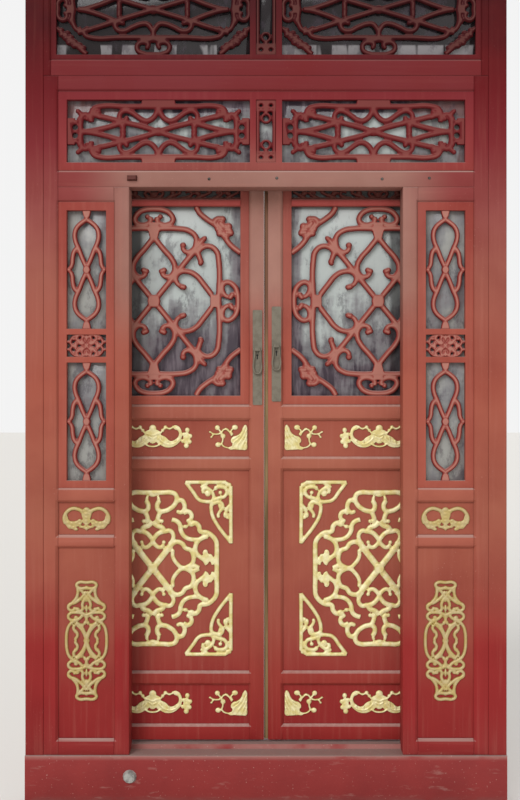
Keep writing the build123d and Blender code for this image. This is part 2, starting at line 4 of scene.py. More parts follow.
import bpy
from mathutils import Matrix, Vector


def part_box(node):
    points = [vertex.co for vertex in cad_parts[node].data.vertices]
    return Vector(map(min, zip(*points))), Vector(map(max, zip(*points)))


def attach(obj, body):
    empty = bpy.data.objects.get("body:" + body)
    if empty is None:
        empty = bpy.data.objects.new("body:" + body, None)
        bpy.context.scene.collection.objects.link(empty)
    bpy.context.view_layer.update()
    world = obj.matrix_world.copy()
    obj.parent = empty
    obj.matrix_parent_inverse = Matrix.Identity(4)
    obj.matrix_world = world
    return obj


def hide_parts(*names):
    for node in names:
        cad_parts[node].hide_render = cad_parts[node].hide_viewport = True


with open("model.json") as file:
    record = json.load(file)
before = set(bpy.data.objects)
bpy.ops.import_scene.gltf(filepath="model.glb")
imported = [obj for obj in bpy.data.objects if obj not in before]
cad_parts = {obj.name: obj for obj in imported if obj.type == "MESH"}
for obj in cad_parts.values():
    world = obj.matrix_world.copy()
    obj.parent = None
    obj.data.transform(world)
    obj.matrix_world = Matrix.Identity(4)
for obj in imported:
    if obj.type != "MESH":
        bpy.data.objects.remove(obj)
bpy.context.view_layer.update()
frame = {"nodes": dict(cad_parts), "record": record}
nodes = frame["nodes"]
bodyOf = {node: body for body, members in frame["record"]["behaviour"]["bodies"].items() for node in members}
bpy.context.scene.view_settings.view_transform = "Standard"
mm = 0.001
sides = {"left": -1, "right": 1}


def pair(*names):
    return [f"{side}_{name}" for name in names for side in sides]


# shader maths: a Wire is one socket, and sums and products of wires add their own nodes

class Wire:
    def __init__(self, sheet, socket):
        self.sheet = sheet
        self.socket = socket

    def maths(self, operation, first, second=0.0, clamp=False):
        return self.sheet.add("ShaderNodeMath", {"operation": operation, "use_clamp": clamp}, {0: first, 1: second})

    def __add__(self, other):
        return self.maths("ADD", self, other)

    def __radd__(self, other):
        return self.maths("ADD", other, self)

    def __sub__(self, other):
        return self.maths("SUBTRACT", self, other)

    def __rsub__(self, other):
        return self.maths("SUBTRACT", other, self)

    def __mul__(self, other):
        return self.maths("MULTIPLY", self, other)

    def __rmul__(self, other):
        return self.maths("MULTIPLY", other, self)

    def __truediv__(self, other):
        return self.maths("DIVIDE", self, other)

    def __abs__(self):
        return self.maths("ABSOLUTE", self)

    def largest(self, other):
        return self.maths("MAXIMUM", self, other)

    def clamped(self):
        return self.maths("ADD", self, 0.0, clamp=True)

    def rise(self, low, high):
        # 0 below low, 1 above high, smooth between
        settings = {"interpolation_type": "SMOOTHSTEP"}
        return self.sheet.add("ShaderNodeMapRange", settings, {"Value": self, "From Min": low, "From Max": high})

    def past(self, band):
        return self.rise(*bands[band])


# where one look gives way to the next, in metres: heights, then distances from the middle, then a depth
bands = {
    "sillFoot": (0.02, 0.09), "sillEdge": (0.203, 0.222), "hook": (1.0, 1.1), "leafWindow": (1.54, 1.98),
    "rosette": (1.55, 1.70), "stripPaint": (1.60, 1.82), "aboveLock": (1.66, 1.96), "lintelShade": (2.19, 2.225),
    "roundBar": (2.236, 2.246), "transomFoot": (2.28, 2.42), "eaves": (2.28, 2.66), "transomPane": (2.30, 2.34),
    "transomMiddle": (2.34, 2.50), "transomHead": (2.50, 2.56), "night": (2.66, 2.72), "topTransom": (2.66, 2.80),
    "roofs": (2.784, 2.792),
    "meetingStile": (0.115, 0.150), "outward": (0.44, 0.70), "jambShade": (0.452, 0.470), "besideLeaf": (0.50, 0.51),
    "sideWindow": (0.50, 0.53), "sidePanel": (0.53, 0.56),
    "leafDepth": (0.08, 0.10),
}


def shade(red, green, blue):
    # a colour as the eye reads it, 0 to 255, turned to the shader's scale
    parts = [c / 255 for c in (red, green, blue)]
    return tuple(c / 12.92 if c <= 0.04045 else ((c + 0.055) / 1.055) ** 2.4 for c in parts) + (1.0,)


def tones(**colours):
    return {name: shade(*colour) for name, colour in colours.items()}


class Sheet:
    def __init__(self, tree):
        self.tree = tree

    def feed(self, socket, value):
        if isinstance(value, Wire):
            self.tree.links.new(value.socket, socket)
        else:
            socket.default_value = value

    def add(self, kind, settings=None, sockets=None, out=0):
        node = self.tree.nodes.new(kind)
        for name, value in (settings or {}).items():
            if name == "stops":
                self.setStops(node.color_ramp.elements, value)
            else:
                setattr(node, name, value)
        for place, value in (sockets or {}).items():
            self.feed(node.inputs[place], value)
        return Wire(self, node.outputs[out])

    def setStops(self, elements, stops):
        while len(elements) < len(stops):
            elements.new(1.0)
        for element, (place, colour) in zip(elements, stops):
            element.position = place
            element.color = colour

    def point(self, stretch=(1, 1, 1), turn=(0, 0, 0)):
        place = self.add("ShaderNodeTexCoord", out="Object")
        return self.add("ShaderNodeMapping", {}, {"Vector": place, "Scale": stretch, "Rotation": turn})

    def split(self, vector):
        return [self.add("ShaderNodeSeparateXYZ", {}, {0: vector}, out=i) for i in range(3)]

    def noise(self, place, scale, detail=3.0, roughness=0.55):
        values = {"Vector": place, "Scale": scale, "Detail": detail, "Roughness": roughness}
        return self.add("ShaderNodeTexNoise", {"noise_dimensions": "3D"}, values, out="Fac")

    def mix(self, factor, first, second):
        values = {0: factor, 6: first, 7: second}
        return self.add("ShaderNodeMix", {"data_type": "RGBA", "clamp_factor": True}, values, out=2)

    def bump(self, height, strength, distance):
        return self.add("ShaderNodeBump", {}, {"Height": height, "Strength": strength, "Distance": distance})


class Finish:
    def __init__(self, name, roughness=0.5, metallic=0.0, specular=0.4):
        self.material = bpy.data.materials.new(name)
        self.material.use_nodes = True
        self.sheet = Sheet(self.material.node_tree)
        self.shader = self.material.node_tree.nodes["Principled BSDF"]
        self.set("Roughness", roughness)
        self.set("Metallic", metallic)
        self.set("Specular IOR Level", specular)

    def set(self, name, value):
        self.sheet.feed(self.shader.inputs[name], value)

    def done(self, colour, roughness, normal):
        self.set("Base Color", colour)
        self.set("Roughness", roughness)
        self.set("Normal", normal)
        return self.material


# the red paint of the screen: height in metres and the colour that it has weathered to there, with painted shade
# under the eaves darkening the top and a painted sheen paling the middle heights
paints = {
    "framePaint": {
        "fade": [(0.22, 142, 50, 48), (0.40, 144, 42, 42), (0.62, 147, 46, 44), (0.86, 159, 84, 69),
                 (1.10, 160, 92, 74), (1.55, 159, 84, 68), (1.95, 153, 88, 75), (2.20, 141, 73, 69),
                 (2.42, 117, 38, 42), (2.62, 96, 19, 25), (2.80, 67, 11, 16), (3.15, 30, 6, 8)],
        "bleached": 0.80, "dust": 0.70, "chips": 0.35, "crown": 0.0,
    },
    "leafPaint": {
        "fade": [(0.24, 140, 40, 38), (0.50, 146, 57, 49), (0.85, 157, 88, 72), (1.25, 163, 95, 76),
                 (1.45, 166, 97, 79), (1.65, 160, 80, 68), (1.95, 166, 91, 79), (2.30, 160, 84, 76)],
        "bleached": 0.85, "dust": 0.70, "chips": 0.35, "crown": 0.0,
    },
    "sashPaint": {
        "fade": [(0.24, 146, 50, 46), (1.20, 162, 84, 69), (1.80, 160, 82, 68), (2.24, 148, 66, 58),
                 (2.40, 136, 53, 53), (2.60, 120, 40, 45), (2.75, 84, 25, 29), (3.15, 44, 12, 15)],
        "bleached": 0.20, "dust": 0.95, "chips": 0.30, "crown": 0.0,
    },
    "latticePaint": {
        "fade": [(0.24, 118, 36, 36), (1.50, 120, 38, 36), (2.20, 114, 34, 35), (2.36, 104, 26, 31),
                 (2.60, 90, 23, 28), (2.75, 62, 15, 18), (3.15, 40, 10, 12)],
        "bleached": 0.0, "dust": 0.50, "chips": 0.20, "crown": 0.85,
    },
    "barPaint": {
        "fade": [(0.24, 172, 82, 76), (2.20, 173, 81, 76), (3.15, 173, 81, 76)],
        "bleached": 0.0, "dust": 0.40, "chips": 0.20, "crown": 0.0,
    },
    "panelPaint": {
        "fade": [(0.24, 136, 38, 38), (0.45, 140, 45, 42), (0.66, 150, 73, 61), (0.90, 157, 86, 69),
                 (1.30, 157, 86, 69), (1.45, 153, 80, 65)],
        "bleached": 0.0, "dust": 0.30, "chips": 0.30, "crown": 0.0,
    },
}
# the rails' heights and colours, with the same painted shade at the top and painted sheen at middle height
rails = {
    "grain": (2.6, 70, 70),
    "fade": [(0.22, 136, 44, 43), (0.40, 141, 40, 40), (0.62, 148, 48, 46), (0.86, 163, 86, 71),
             (1.10, 166, 95, 77), (1.55, 165, 88, 72), (2.20, 139, 66, 63), (2.32, 131, 59, 58),
             (2.42, 130, 56, 57), (2.62, 116, 44, 47), (2.80, 106, 37, 41), (3.15, 56, 16, 18)],
}
# what age and painted light do to all of the paint: bleaching with painted sheen, stains, streaks, chips, dust with
# painted highlight on ledges, painted highlight on the crowns of the carving, and painted shadow behind the lintel
wear = tones(bleached=(160, 125, 112), stain=(112, 30, 30), streak=(186, 122, 106), chip=(206, 160, 146),
             dust=(184, 158, 149), crownLow=(151, 78, 69), crownMiddle=(107, 37, 39), crownTop=(60, 14, 19),
             worn=(182, 131, 117), behindLintel=(58, 20, 19))
doorHeight = 3.155


def redPaint(name, look):
    finish = Finish(name, specular=0.10)
    sheet = finish.sheet
    place = sheet.point()
    x, y, z = sheet.split(place)
    stops = [(height / doorHeight, shade(*colour)) for height, *colour in look["fade"]]
    colour = sheet.add("ShaderNodeValToRGB", {"stops": stops}, {0: z / doorHeight})
    across, depthwise, upward = sheet.split(sheet.add("ShaderNodeNewGeometry", out="Normal"))
    clouds = sheet.noise(place, 3.2, 4.0)
    grain = sheet.noise(sheet.point(look.get("grain", (70, 70, 2.6))), 1.0, 3.0)
    specks = sheet.noise(place, 150.0, 2.0)
    # the middle of the screen above the lock turns a dusty pink, partly bleaching and partly painted sheen
    middle = (1 - abs(x).past("outward")) * z.past("aboveLock") * (1 - z.past("transomMiddle"))
    colour = sheet.mix(middle * look["bleached"] * (0.55 + 0.75 * clouds), colour, wear["bleached"])
    colour = sheet.mix((clouds - 0.42).clamped() * 1.3, colour, wear["stain"])
    # under the eaves the paint keeps its colour, and takes less dust and painted highlight, and fewer streaks
    exposed = 1 - z.past("eaves") * 0.75
    colour = sheet.mix((grain - 0.52).clamped() * 0.6 * exposed, colour, wear["streak"])
    chips = specks.rise(0.66, 0.74) * clouds.rise(0.46, 0.62) * look["chips"] * exposed
    colour = sheet.mix(chips, colour, wear["chip"])
    if look["crown"]:
        # carving has a painted highlight on its forward-facing crowns, dusty in tone and dimmed by painted shade
        # under the eaves, between its darker flanks, and a painted shadow behind the lintel
        facing = 0 - depthwise
        crown = facing.rise(0.55, 0.92) * look["crown"] * (0.75 + 0.5 * clouds)
        dusty = sheet.mix(z.past("transomFoot"), wear["crownLow"], wear["crownMiddle"])
        dusty = sheet.mix(z.past("topTransom"), dusty, wear["crownTop"])
        colour = sheet.mix(crown, colour, dusty)
        # the most forward-facing ridges are paler, partly worn and partly painted highlight
        worn = facing.rise(0.93, 1.0) * (0.25 + 0.9 * clouds) * (1 - z.past("transomFoot") * 0.80)
        colour = sheet.mix(worn * 0.85, colour, wear["worn"])
        # painted shadow behind the lintel
        behind = y.past("leafDepth") * z.past("roundBar")
        colour = sheet.mix(behind * 0.72, colour, wear["behindLintel"])
    # upward-facing ledges get dust and a painted highlight
    ledge = upward.rise(0.35, 0.85) * look["dust"] * (0.55 + 0.8 * grain) * exposed
    colour = sheet.mix(ledge, colour, wear["dust"])
    fine = sheet.noise(place, 420.0, 2.0)
    return finish.done(colour, 0.56 + 0.2 * clouds + 0.1 * ledge,
                       sheet.bump(fine * 0.5 + grain * 0.8, 0.22, 0.0012))


# gilding: pale worn ridges with painted highlight over ochre hollows with painted shade, with specks of the red
# ground
gold = tones(ridge=(232, 223, 174), body=(213, 197, 127), hollow=(158, 134, 54), ground=(150, 62, 44),
             side=(146, 112, 52))


def makeGilding():
    finish = Finish("gilding", metallic=0.12, specular=0.5)
    sheet = finish.sheet
    place = sheet.point()
    clouds = sheet.noise(place, 38.0, 3.0)
    specks = sheet.noise(place, 260.0, 2.0)
    pointed = sheet.add("ShaderNodeNewGeometry", out="Pointiness")
    colour = sheet.mix(clouds.rise(0.35, 0.66), gold["body"], gold["ridge"])
    # painted shade in the concave hollows and painted highlight on the sharp ridges
    colour = sheet.mix(1 - pointed.rise(0.44, 0.50), colour, gold["hollow"])
    colour = sheet.mix(pointed.rise(0.51, 0.56) * 0.6, colour, gold["ridge"])
    # painted shade on the flanks that turn away from the front
    flank = 1 - (0 - sheet.split(sheet.add("ShaderNodeNewGeometry", out="Normal"))[1]).rise(0.30, 0.85)
    colour = sheet.mix(flank * 0.75, colour, gold["hollow"])
    colour = sheet.mix(specks.rise(0.68, 0.76) * clouds.rise(0.5, 0.66) * 0.5, colour, gold["ground"])
    # the gilding of the narrow side panels is darker
    side = abs(sheet.split(place)[0]).past("sidePanel")
    colour = sheet.mix(side * (0.42 + 0.3 * clouds), colour, gold["side"])
    return finish.done(colour, 0.34 + 0.22 * clouds, sheet.bump(sheet.noise(place, 300.0, 3.0), 0.35, 0.0012))


# old panes: painted reflections of the court in their colour, cloudy, dark towards the foot of each window
pane = tones(bright=(179, 186, 183), middle=(130, 129, 131), dim=(110, 99, 106), dark=(64, 53, 63),
             night=(34, 27, 29), court=(136, 100, 94), sideBright=(158, 158, 153), skyline=(150, 146, 148))
paneAlpha = 0.92


def makeGlass():
    finish = Finish("oldGlass", roughness=0.12, specular=0.25)
    sheet = finish.sheet
    x, y, z = sheet.split(sheet.point())
    drift = sheet.noise(sheet.point((1.0, 1.0, 1.5)), 3.4, 5.0, 0.62)
    streaks = sheet.noise(sheet.point((26.0, 26.0, 4.0)), 1.0, 4.0, 0.6)
    branches = sheet.noise(sheet.point((1.0, 1.0, 0.5), (0, 0.5, 0)), 19.0, 5.0, 0.7)
    # leaf windows: pale above, dark at the foot and beside the meeting stiles
    meeting = 1 - abs(x).past("meetingStile")
    sideWindow = abs(x).past("sideWindow")
    leafLight = (z.past("leafWindow") * 0.66 - meeting * 0.46) * (1 - sideWindow)
    sideLight = (0.44 - z.past("rosette") * 0.09) * sideWindow
    transoms = z.past("transomPane")
    upper = (1 - z.past("transomHead")) * 0.38 - 0.06
    light = (leafLight + sideLight) * (1 - transoms) + upper * transoms + drift * 1.5 + streaks * 0.8 - 1.10
    night = z.past("night")
    dark = sheet.mix(streaks.rise(0.42, 0.60), pane["dark"], pane["dim"])
    # the reddish court in the side windows' reflections
    dark = sheet.mix(sideWindow * (0.30 + 0.5 * drift), dark, pane["court"])
    dark = sheet.mix(night, dark, pane["night"])
    colour = sheet.mix(light.rise(0.02, 0.34) * (1 - night), dark, pane["middle"])
    bright = sheet.mix(sideWindow, pane["bright"], pane["sideBright"])
    colour = sheet.mix(light.rise(0.28, 0.62) * (1 - night), colour, bright)
    # painted reflection of daylight over the roofs, along the foot of the uppermost panes only
    roofs = sheet.noise(sheet.point((16.0, 1.0, 2.0)), 1.0, 2.0, 0.5).rise(0.47, 0.51)
    colour = sheet.mix(roofs * (1 - z.past("roofs")) * night * 0.8, colour, pane["skyline"])
    colour = sheet.mix(branches.rise(0.52, 0.64) * 0.5, colour, pane["dark"])
    # the edge of each leaf's pane lies in the shade of the jamb and the lintel
    edges = abs(x).past("jambShade") * (1 - abs(x).past("besideLeaf")) * y.past("leafDepth")
    under = z.past("lintelShade") * y.past("leafDepth")
    colour = sheet.mix(edges.largest(under) * 0.75, colour, pane["night"])
    finish.set("Alpha", paneAlpha + 0.06 * drift)
    return finish.done(colour, 0.08 + 0.12 * drift, sheet.bump(sheet.noise(sheet.point(), 7.0, 2.0), 0.12, 0.002))


# the sill: red on its face, worn to grey along its ledges and at the ground
stone = tones(face=(141, 47, 45), ledge=(143, 122, 116), scuff=(178, 142, 132), ground=(112, 92, 86),
              stain=(118, 36, 36), chip=(196, 170, 160))


def makeSillPaint():
    finish = Finish("sillPaint", specular=0.3)
    sheet = finish.sheet
    place = sheet.point()
    x, y, z = sheet.split(place)
    clouds = sheet.noise(place, 5.0, 4.0)
    scuffs = sheet.noise(sheet.point((9, 9, 34)), 1.0, 4.0, 0.65)
    specks = sheet.noise(place, 120.0, 2.0)
    upward = sheet.split(sheet.add("ShaderNodeNewGeometry", out="Normal"))[2]
    colour = sheet.mix((clouds - 0.38).clamped() * 1.6, stone["face"], stone["stain"])
    colour = sheet.mix(scuffs.rise(0.58, 0.72) * 0.32, colour, stone["scuff"])
    colour = sheet.mix((1 - z.past("sillFoot")) * scuffs.rise(0.36, 0.56) * 0.8, colour, stone["ground"])
    colour = sheet.mix(z.past("sillEdge") * 0.40 * clouds.rise(0.3, 0.5), colour, stone["scuff"])
    colour = sheet.mix(upward.rise(0.3, 0.8) * (0.6 + 0.5 * scuffs), colour, stone["ledge"])
    colour = sheet.mix(specks.rise(0.67, 0.74) * 0.5, colour, stone["chip"])
    return finish.done(colour, 0.5 + 0.3 * scuffs, sheet.bump(scuffs + 0.4 * specks, 0.35, 0.002))


# bare and back-side wood: two tones with long grain up the piece, or along it
woods = {
    "bareWood": {"stretch": (60, 60, 2.2),
                 "tones": tones(light=(162, 138, 98), dark=(112, 92, 58), painted=(112, 64, 50))},
    "backWood": {"stretch": (2.2, 60, 60), "tones": tones(light=(124, 84, 62), dark=(86, 54, 40))},
}


def makeWood(name, look):
    finish = Finish(name, specular=0.3)
    sheet = finish.sheet
    wood = look["tones"]
    grain = sheet.noise(sheet.point(look["stretch"]), 1.0, 5.0, 0.62)
    clouds = sheet.noise(sheet.point(), 6.0, 3.0)
    colour = sheet.mix(grain.rise(0.32, 0.68), wood["dark"], wood["light"])
    colour = sheet.mix(clouds.rise(0.5, 0.7) * 0.35, colour, wood["dark"])
    if "painted" in wood:
        # above the lock the strip between the leaves is darker with painted shade in the gap
        colour = sheet.mix(sheet.split(sheet.point())[2].past("stripPaint") * 0.75, colour, wood["painted"])
    return finish.done(colour, 0.55 + 0.25 * grain, sheet.bump(grain, 0.35, 0.0015))


# lock metal: grey brass with dark tarnish and rubbed edges
metals = {
    "lockMetal": {"metallic": 0.15,
                  "tones": tones(body=(118, 111, 97), dark=(106, 98, 85), rubbed=(136, 128, 112))},
    # the keyholes' dark is painted shade
    "keyholeDark": {"metallic": 0.0, "tones": tones(body=(26, 20, 19), dark=(16, 12, 12), rubbed=(40, 32, 30))},
    "ironwork": {"metallic": 0.3, "tones": tones(body=(168, 168, 162), dark=(120, 118, 114),
                                                 rubbed=(205, 205, 200), hook=(84, 40, 34))},
    "lockIron": {"metallic": 0.6, "tones": tones(body=(92, 86, 82), dark=(54, 48, 45), rubbed=(140, 134, 128))},
}


def makeMetal(name, look):
    finish = Finish(name, metallic=look["metallic"], specular=0.3)
    sheet = finish.sheet
    metal = look["tones"]
    place = sheet.point()
    clouds = sheet.noise(place, 45.0, 4.0, 0.62)
    pits = sheet.noise(place, 320.0, 2.0)
    colour = sheet.mix(clouds.rise(0.40, 0.68), metal["body"], metal["dark"])
    colour = sheet.mix(pits.rise(0.60, 0.72) * 0.6, colour, metal["rubbed"])
    if "hook" in metal:
        # the hook on the lintel is painted over, the stud on the sill is bare
        colour = sheet.mix(sheet.split(place)[2].past("hook"), colour, metal["hook"])
    return finish.done(colour, 0.40 + 0.3 * clouds, sheet.bump(pits + clouds, 0.3, 0.0008))


finishes = {name: redPaint(name, look) for name, look in paints.items()}
finishes["railPaint"] = redPaint("railPaint", dict(paints["framePaint"], **rails))
finishes["gilding"] = makeGilding()
finishes["glass"] = makeGlass()
finishes["sillPaint"] = makeSillPaint()
finishes.update({name: makeWood(name, look) for name, look in woods.items()})
finishes.update({name: makeMetal(name, look) for name, look in metals.items()})

# which finish each piece of the frame has, and the slot that it belongs to
finishPlan = {
    "frame_paint": ("framePaint", [*pair("post", "outer_stile", "jamb"), "lintel", "upper_rail", "top_rail",
                                   "head_rail", "top_stiles", *pair("side_rails")]),
    "leaf_paint": ("leafPaint", pair("leaf_rails", "hinge_stile", "meeting_stile")),
    "sash_paint": ("sashPaint", ["top_transom_sash", "transom_sash", *pair("side_sash", "leaf_sash")]),
    "lattice_paint": ("latticePaint", ["top_transom_lattice", "transom_lattice",
                                       *pair("side_lattice", "leaf_lattice")]),
    "panel_paint": ("panelPaint", pair("side_panels", "leaf_panels")),
    "sill_paint": ("sillPaint", ["sill", "pivot_blocks"]),
    "back_wood": ("backWood", ["pivot_board", *pair("pivot_post")]),
    "bare_wood": ("bareWood", ["meeting_strip"]),
    "gilding": ("gilding", pair("side_gilding", "leaf_gilding")),
    "glass": ("glass", ["top_transom_glass", "transom_glass", *pair("side_glass", "leaf_glass")]),
    "lock_metal": ("lockMetal", [*pair("lock_plate", "pull"), "ironwork"]),
    "lock_iron": ("lockIron", ["lock_case", "lock_bolt"]),
}
planOf = {node: (slot, finish) for slot, (finish, members) in finishPlan.items() for node in members}
# in the rails the grain runs across, and the stud and the hook differ from the lock plates
for node in ("lintel", "upper_rail", "top_rail", "head_rail", *pair("side_rails")):
    planOf[node] = ("frame_paint", "railPaint")
planOf["ironwork"] = ("lock_metal", "ironwork")


def cover(piece, finish):
    piece.data.materials.clear()
    piece.data.materials.append(finishes[finish])


for node, (slot, finish) in planOf.items():
    cover(nodes[node], finish)
print("finishes", len(finishes), "for", len(planOf), "nodes of", len(nodes))


# small helpers for modelling

def pickOnly(*pieces):
    bpy.ops.object.select_all(action="DESELECT")
    for piece in pieces:
        piece.select_set(True)
    bpy.context.view_layer.objects.active = pieces[0]


def apply(piece, kind, **settings):
    pickOnly(piece)
    modifier = piece.modifiers.new(kind.lower(), kind)
    for name, value in settings.items():
        setattr(modifier, name, value)
    bpy.ops.object.modifier_apply(modifier=modifier.name)


def settle(piece):
    pickOnly(piece)
    bpy.ops.object.transform_apply(location=True, rotation=True, scale=True)


def joined(pieces):
    pickOnly(*pieces)
    bpy.ops.object.join()
    return bpy.context.object


def discard(*pieces):
    for piece in pieces:
        bpy.data.objects.remove(piece)


def stand(piece, name, body, slot, finish, *replaced):
    piece.name = name
    cover(piece, finish)
    settle(piece)
    if replaced:
        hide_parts(*replaced)
    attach(piece, body)


# members of the frame and the leaves, with their sharp edges eased as planed and painted wood is
weldDistance = 0.00002
easing = {"frame_paint": 2.6, "leaf_paint": 2.2, "sash_paint": 1.6, "sill_paint": 4.0, "back_wood": 3.0,
          "glass": 0.5, "bare_wood": 1.2}


def closeGap(strip):
    # the strip's hidden edge reaches the left leaf
    for corner in strip.data.vertices:
        if corner.co.x < 0:
            corner.co.x -= 3.4 * mm


def easeNode(node):
    slot, finish = planOf[node]
    piece = bpy.data.objects.new(node + "_eased", nodes[node].data.copy())
    bpy.context.scene.collection.objects.link(piece)
    pickOnly(piece)
    bpy.ops.object.mode_set(mode="EDIT")
    bpy.ops.mesh.select_all(action="SELECT")
    bpy.ops.mesh.remove_doubles(threshold=weldDistance)
    bpy.ops.mesh.dissolve_limited(angle_limit=math.radians(1))
    # faces with mortises or openings in them are split up, or the bevel can fold them over
    bpy.ops.mesh.quads_convert_to_tris(ngon_method="BEAUTY")
    bpy.ops.object.mode_set(mode="OBJECT")
    bpy.ops.object.shade_smooth()
    if node == "meeting_strip":
        closeGap(piece)
    box = [[pick(vertex.co[i] for vertex in piece.data.vertices) for i in range(3)] for pick in (min, max)]
    apply(piece, "BEVEL", width=easing[slot] * mm, segments=2, limit_method="ANGLE",
          angle_limit=math.radians(30), harden_normals=True, use_clamp_overlap=True)
    # rounding may not carry a corner out of the node's own box
    for vertex in piece.data.vertices:
        vertex.co = [min(max(value, low), high) for value, low, high in zip(vertex.co, *box)]
    stand(piece, node + "_eased", bodyOf[node], slot, finish, node)


for slot in easing:
    for node in finishPlan[slot][1]:
        easeNode(node)
print("eased members", sum(len(finishPlan[slot][1]) for slot in easing))


# carved strokes: points in millimetres from the middle of the carving, and the width left at the stroke's end

def drawCurve(outlines, flat=False):
    # open strokes stand upright at once, a flat shape is closed and turned up later
    bpy.ops.object.select_all(action="DESELECT")
    bpy.ops.curve.primitive_bezier_curve_add(location=(0, 0, 0))
    route = bpy.context.object
    route.data.splines.clear()
    for points in outlines:
        spline = route.data.splines.new("BEZIER")
        spline.bezier_points.add(len(points) - 1)
        spline.use_cyclic_u = flat
        for bend, (x, z) in zip(spline.bezier_points, points):
            bend.co = (x * mm, z * mm, 0) if flat else (x * mm, 0, z * mm)
            bend.handle_left_type = "AUTO"
            bend.handle_right_type = "AUTO"
    route.data.dimensions = "2D" if flat else "3D"
    return route


def asMesh(route):
    pickOnly(route)
    bpy.ops.object.convert(target="MESH")
    return bpy.context.object


curveSteps = {"stroke": 7, "fill": 6, "round": 3}
strokeSpare = 0.5  # the smoothing takes this off a stroke again


def addStrokes(strokes, radius, depth):
    route = drawCurve([points for ending, *points in strokes])
    for spline, (ending, *points) in zip(route.data.splines, strokes):
        for i, bend in enumerate(spline.bezier_points):
            along = i / (len(points) - 1)
            bend.radius = 1 + (ending - 1) * along ** 2
    route.data.resolution_u = curveSteps["stroke"]
    route.data.bevel_depth = (radius + strokeSpare) * mm
    route.data.bevel_resolution = curveSteps["round"]
    route.data.use_fill_caps = True
    carved = asMesh(route)
    carved.scale = (1, depth / radius, 1)
    settle(carved)
    return carved


def addKnob(x, z, width, height, depth, turn=0):
    bpy.ops.mesh.primitive_uv_sphere_add(segments=16, ring_count=10, radius=1, location=(x * mm, 0, z * mm),
                                         rotation=(0, math.radians(turn), 0))
    knob = bpy.context.object
    knob.scale = (width * mm, depth * mm, height * mm)
    return knob


def addBlock(x, z, width, height, depth, turn=0, top=1.0):
    bpy.ops.mesh.primitive_cube_add(size=2, location=(x * mm, 0, z * mm), rotation=(0, math.radians(turn), 0))
    block = bpy.context.object
    bpy.ops.object.mode_set(mode="EDIT")
    bpy.ops.mesh.select_all(action="DESELECT")
    bpy.ops.mesh.select_mode(type="FACE")
    bpy.ops.object.mode_set(mode="OBJECT")
    for face in block.data.polygons:
        face.select = face.normal.z > 0.9
    bpy.ops.object.mode_set(mode="EDIT")
    bpy.ops.transform.resize(value=(top, 1, 1))
    bpy.ops.object.mode_set(mode="OBJECT")
    block.scale = (width * mm / 2, depth * mm, height * mm / 2)
    return block


def addDisc(x, z, radius, depth):
    bpy.ops.mesh.primitive_cylinder_add(vertices=28, radius=radius * mm, depth=2 * depth * mm,
                                        location=(x * mm, 0, z * mm), rotation=(math.pi / 2, 0, 0))
    return bpy.context.object


def addFills(outlines, depth):
    # flat carved shapes, rounded by the smoothing
    route = drawCurve(outlines, flat=True)
    route.data.fill_mode = "BOTH"
    route.data.resolution_u = curveSteps["fill"]
    route.data.extrude = depth * mm
    route.rotation_euler = (math.pi / 2, 0, 0)
    filled = asMesh(route)
    settle(filled)
    return filled


discRise = 2  # a disc stands this far above the strokes


def carve(carving):
    depth = carving["depth"]
    parts = [addStrokes(carving["strokes"], carving["stroke"], depth)]
    if "fills" in carving:
        parts.append(addFills(carving["fills"], carving["fillDepth"]))
    for group in carving.get("more", []):
        parts.append(addStrokes(group["strokes"], group["stroke"], group.get("depth", depth)))
    for x, z, width, height, *turn in carving.get("knobs", []):
        parts.append(addKnob(x, z, width, height, depth + carving.get("raised", 0), *turn))
    for x, z, radius in carving.get("discs", []):
        parts.append(addDisc(x, z, radius, depth + discRise))
    for x, z, width, height, *rest in carving.get("blocks", []):
        parts.append(addBlock(x, z, width, height, depth, *rest))
    carved = joined(parts)
    settle(carved)
    acrossX, acrossZ = carving.get("mirror", (True, True))
    if acrossX or acrossZ:
        apply(carved, "MIRROR", use_axis=(acrossX, False, acrossZ), use_mirror_merge=False)
    apply(carved, "REMESH", mode="VOXEL", voxel_size=carving["voxel"] * mm)
    apply(carved, "SMOOTH", factor=0.5, iterations=carving.get("smoothing", 3))
    if carving.get("ground"):
        cutBack(carved)
    apply(carved, "DECIMATE", ratio=carving.get("ratio", 0.5))
    pickOnly(carved)
    bpy.ops.object.shade_smooth()
    return carved


def cutBack(carved):
    # takes off all that would lie behind the panel's face
    pickOnly(carved)
    bpy.ops.object.mode_set(mode="EDIT")
    bpy.ops.mesh.select_all(action="SELECT")
    bpy.ops.mesh.bisect(plane_co=(0, 0, 0), plane_no=(0, 1, 0), use_fill=True, clear_outer=True)
    bpy.ops.object.mode_set(mode="OBJECT")


def pierce(carved, holes, depth):
    # round or slotted holes through a carving that is still at the middle
    cutters = []
    for x, z, width, height in holes:
        bpy.ops.mesh.primitive_cylinder_add(vertices=20, radius=1, depth=2, location=(x * mm, 0, z * mm),
                                            rotation=(math.pi / 2, 0, 0))
        cutter = bpy.context.object
        cutter.scale = (width * mm / 2, height * mm / 2, depth * 2 * mm)
        cutters.append(cutter)
    cutter = joined(cutters)
    settle(cutter)
    apply(carved, "BOOLEAN", operation="DIFFERENCE", object=cutter, solver="EXACT")
    discard(cutter)


def copyAt(carved, place, flip=1):
    piece = carved.copy()
    piece.data = carved.data.copy()
    bpy.context.scene.collection.objects.link(piece)
    piece.location = [c * mm for c in place]
    if flip < 0:
        piece.rotation_euler = (0, math.pi, 0)
    settle(piece)
    return piece


def joinAs(name, pieces, node):
    slot, finish = planOf[node]
    stand(joined(pieces), name, bodyOf[node], slot, finish, node)


